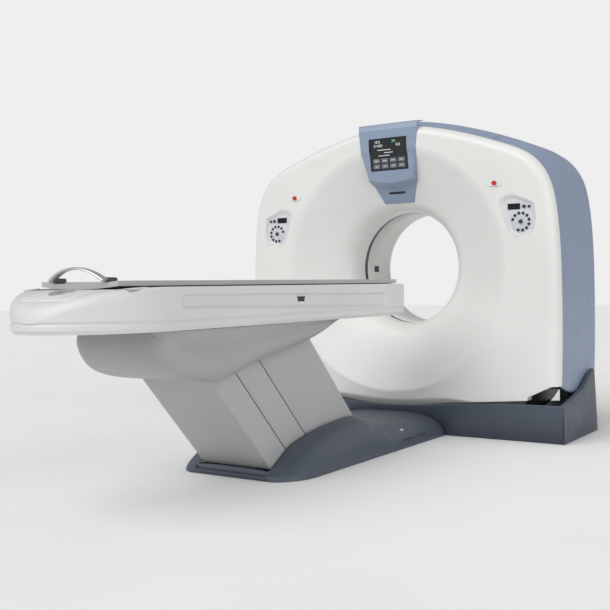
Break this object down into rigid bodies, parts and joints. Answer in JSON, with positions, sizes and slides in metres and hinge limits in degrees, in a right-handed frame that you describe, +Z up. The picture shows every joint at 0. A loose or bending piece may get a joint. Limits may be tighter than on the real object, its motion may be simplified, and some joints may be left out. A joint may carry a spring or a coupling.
{
  "type": "ct scanner",
  "caption": "Whole-body CT scanner: tilting ring gantry on a floor base, with a patient table that lifts on leaning arms and slides its board through the bore.",
  "frame": {"origin": "on the floor directly below the isocentre, at the centre of the gantry's floor anchors", "axes": "+Y along the bore, from the patient table into the gantry; +Z up; +X to the right seen from the table"},
  "size_m": [2.16, 3.53, 1.9139],
  "materials": {
    "base_paint": "matte",
    "frame_steel": "satin",
    "shaft_steel": "polished",
    "bush_bronze": "satin",
    "motor_paint": "satin",
    "front_shell": "satin",
    "blue_shell": "satin",
    "dark_base": "satin",
    "rear_shell": "satin",
    "table_shell": "satin",
    "belly_shell": "satin",
    "leg_shell": "satin",
    "foot_shell": "gloss",
    "window_film": "gloss",
    "dark_window": "gloss",
    "screen_glass": "gloss",
    "housing_shell": "satin",
    "panel_tray": "satin",
    "key_rubber": "matte",
    "button_plastic": "gloss",
    "button_pale": "gloss",
    "button_red": "gloss",
    "belt_rubber": "matte",
    "rotor_alloy": "satin",
    "tube_alloy": "satin",
    "unit_metal": "satin",
    "carbon_board": "satin",
    "deck_plastic": "satin",
    "chrome": "polished"
  },
  "bodies": {
    "root": {"gantry_base_frame": "base_paint", "gantry_base_cover": "dark_base", "tilt_bushes": "bush_bronze", "tilt_gearmotor": "motor_paint", "link_cover": "dark_base", "table_base_frame": "base_paint", "table_base_cover": "dark_base", "base_pivots": "shaft_steel"},
    "gantry": {"tilt_frame": "frame_steel", "bearing_outer_ring": "shaft_steel", "front_cover": "front_shell", "rear_cover": "rear_shell", "right_side_cover": "blue_shell", "left_side_cover": "blue_shell", "top_cover": "blue_shell", "display_housing": "housing_shell", "display_screen": "screen_glass", "scan_window_ring": "window_film", "light_windows": "dark_window", "drive_motor": "motor_paint", "drive_belt": "belt_rubber", "brush_block": "motor_paint", "right_control_panel": "panel_tray", "left_control_panel": "panel_tray", "keypads": "key_rubber", "panel_readouts": "screen_glass", "stop_plates": "panel_tray"},
    "rotor": {"rotor_drum": "rotor_alloy", "bearing_inner_ring": "shaft_steel", "xray_tube": "tube_alloy", "collimator": "unit_metal", "detector": "unit_metal", "hv_generator": "unit_metal", "power_unit": "unit_metal", "heat_exchanger": "unit_metal", "slip_ring": "rotor_alloy"},
    "pulley": {"motor_pulley": "shaft_steel"},
    "arm_front": {"lift_arm_front": "frame_steel"},
    "arm_rear": {"lift_arm_rear": "frame_steel"},
    "slat_rear": {"leg_cover_rear": "leg_shell"},
    "slat_middle": {"leg_cover_middle": "leg_shell"},
    "slat_front": {"leg_cover_front": "leg_shell"},
    "actuator_base": {"actuator_barrel": "motor_paint"},
    "actuator_stem": {"actuator_rod": "shaft_steel"},
    "table_top": {"table_frame": "frame_steel", "table_deck": "deck_plastic", "table_cover": "table_shell", "foot_panel": "foot_shell", "foot_cap": "foot_shell", "belly_cover": "belly_shell"},
    "board": {"cradle": "carbon_board", "cradle_handle": "chrome"},
    "right_start_key": {"right_start_button": "button_plastic"},
    "right_stop_key": {"right_stop_button": "button_plastic"},
    "right_center_key": {"right_center_button": "button_pale"},
    "right_emergency_key": {"right_emergency_stop": "button_red"},
    "left_start_key": {"left_start_button": "button_plastic"},
    "left_stop_key": {"left_stop_button": "button_plastic"},
    "left_center_key": {"left_center_button": "button_pale"},
    "left_emergency_key": {"left_emergency_stop": "button_red"}
  },
  "joints": [
    {"name": "gantry_tilt", "type": "hinge", "parent": "root", "child": "gantry", "pos_m": [0, 0, 1], "axis": [1, 0, 0], "range_deg": [-30, 30]},
    {"name": "rotor_spin", "type": "hinge", "parent": "gantry", "child": "rotor", "pos_m": [0, 0.16, 1], "axis": [0, 1, 0], "continuous": true},
    {"name": "pulley_spin", "type": "hinge", "parent": "gantry", "child": "pulley", "pos_m": [-0.68, 0.16, 1.56], "axis": [0, 1, 0], "continuous": true},
    {"name": "table_lift", "type": "hinge", "parent": "root", "child": "arm_front", "pos_m": [0, -1.3, 0.095], "axis": [-1, 0, 0], "range_deg": [-26, 6]},
    {"name": "rear_arm_swing", "type": "hinge", "parent": "root", "child": "arm_rear", "pos_m": [0, -1.7, 0.095], "axis": [-1, 0, 0], "range_deg": [-26, 6]},
    {"name": "table_level", "type": "hinge", "parent": "arm_front", "child": "table_top", "pos_m": [0, -1.96082, 0.79136], "axis": [-1, 0, 0], "range_deg": [-6, 26]},
    {"name": "rear_slat_swing", "type": "hinge", "parent": "root", "child": "slat_rear", "pos_m": [0, -1.8, 0.02], "axis": [-1, 0, 0], "range_deg": [-26, 6]},
    {"name": "middle_slat_swing", "type": "hinge", "parent": "root", "child": "slat_middle", "pos_m": [0, -1.7, 0.03], "axis": [-1, 0, 0], "range_deg": [-26, 6]},
    {"name": "front_slat_swing", "type": "hinge", "parent": "root", "child": "slat_front", "pos_m": [0, -1.3, 0.17], "axis": [-1, 0, 0], "range_deg": [-26, 6]},
    {"name": "actuator_swing", "type": "hinge", "parent": "root", "child": "actuator_base", "pos_m": [0, -1.6, 0.095], "axis": [-1, 0, 0], "range_deg": [-13, 3]},
    {"name": "actuator_stroke", "type": "slide", "parent": "actuator_base", "child": "actuator_stem", "axis": [0, 0.6191, 0.7853], "range_m": [-0.11559, 0.02675]},
    {"name": "board_slide", "type": "slide", "parent": "table_top", "child": "board", "axis": [0, 1, 0], "range_m": [0, 1.7]},
    {"name": "right_start_press", "type": "slide", "parent": "gantry", "child": "right_start_key", "axis": [0, 1, 0], "range_m": [0, 0.003], "stiffness_N_per_m": 600},
    {"name": "right_stop_press", "type": "slide", "parent": "gantry", "child": "right_stop_key", "axis": [0, 1, 0], "range_m": [0, 0.003], "stiffness_N_per_m": 600},
    {"name": "right_center_press", "type": "slide", "parent": "gantry", "child": "right_center_key", "axis": [0, 1, 0], "range_m": [0, 0.003], "stiffness_N_per_m": 600},
    {"name": "right_emergency_press", "type": "slide", "parent": "gantry", "child": "right_emergency_key", "axis": [0, 1, 0], "range_m": [0, 0.003], "stiffness_N_per_m": 600},
    {"name": "left_start_press", "type": "slide", "parent": "gantry", "child": "left_start_key", "axis": [0, 1, 0], "range_m": [0, 0.003], "stiffness_N_per_m": 600},
    {"name": "left_stop_press", "type": "slide", "parent": "gantry", "child": "left_stop_key", "axis": [0, 1, 0], "range_m": [0, 0.003], "stiffness_N_per_m": 600},
    {"name": "left_center_press", "type": "slide", "parent": "gantry", "child": "left_center_key", "axis": [0, 1, 0], "range_m": [0, 0.003], "stiffness_N_per_m": 600},
    {"name": "left_emergency_press", "type": "slide", "parent": "gantry", "child": "left_emergency_key", "axis": [0, 1, 0], "range_m": [0, 0.003], "stiffness_N_per_m": 600}
  ],
  "couplings": [
    {"joint": "pulley_spin", "follows": "rotor_spin", "ratio": 15.7},
    {"joint": "rear_arm_swing", "follows": "table_lift", "ratio": 1},
    {"joint": "table_level", "follows": "table_lift", "ratio": -1},
    {"joint": "rear_slat_swing", "follows": "table_lift", "ratio": 1},
    {"joint": "middle_slat_swing", "follows": "table_lift", "ratio": 1},
    {"joint": "front_slat_swing", "follows": "table_lift", "ratio": 1},
    {"joint": "actuator_swing", "follows": "table_lift", "ratio": 0.5},
    {"joint": "actuator_stroke", "follows": "table_lift", "m_per_rad": 0.2545}
  ]
}
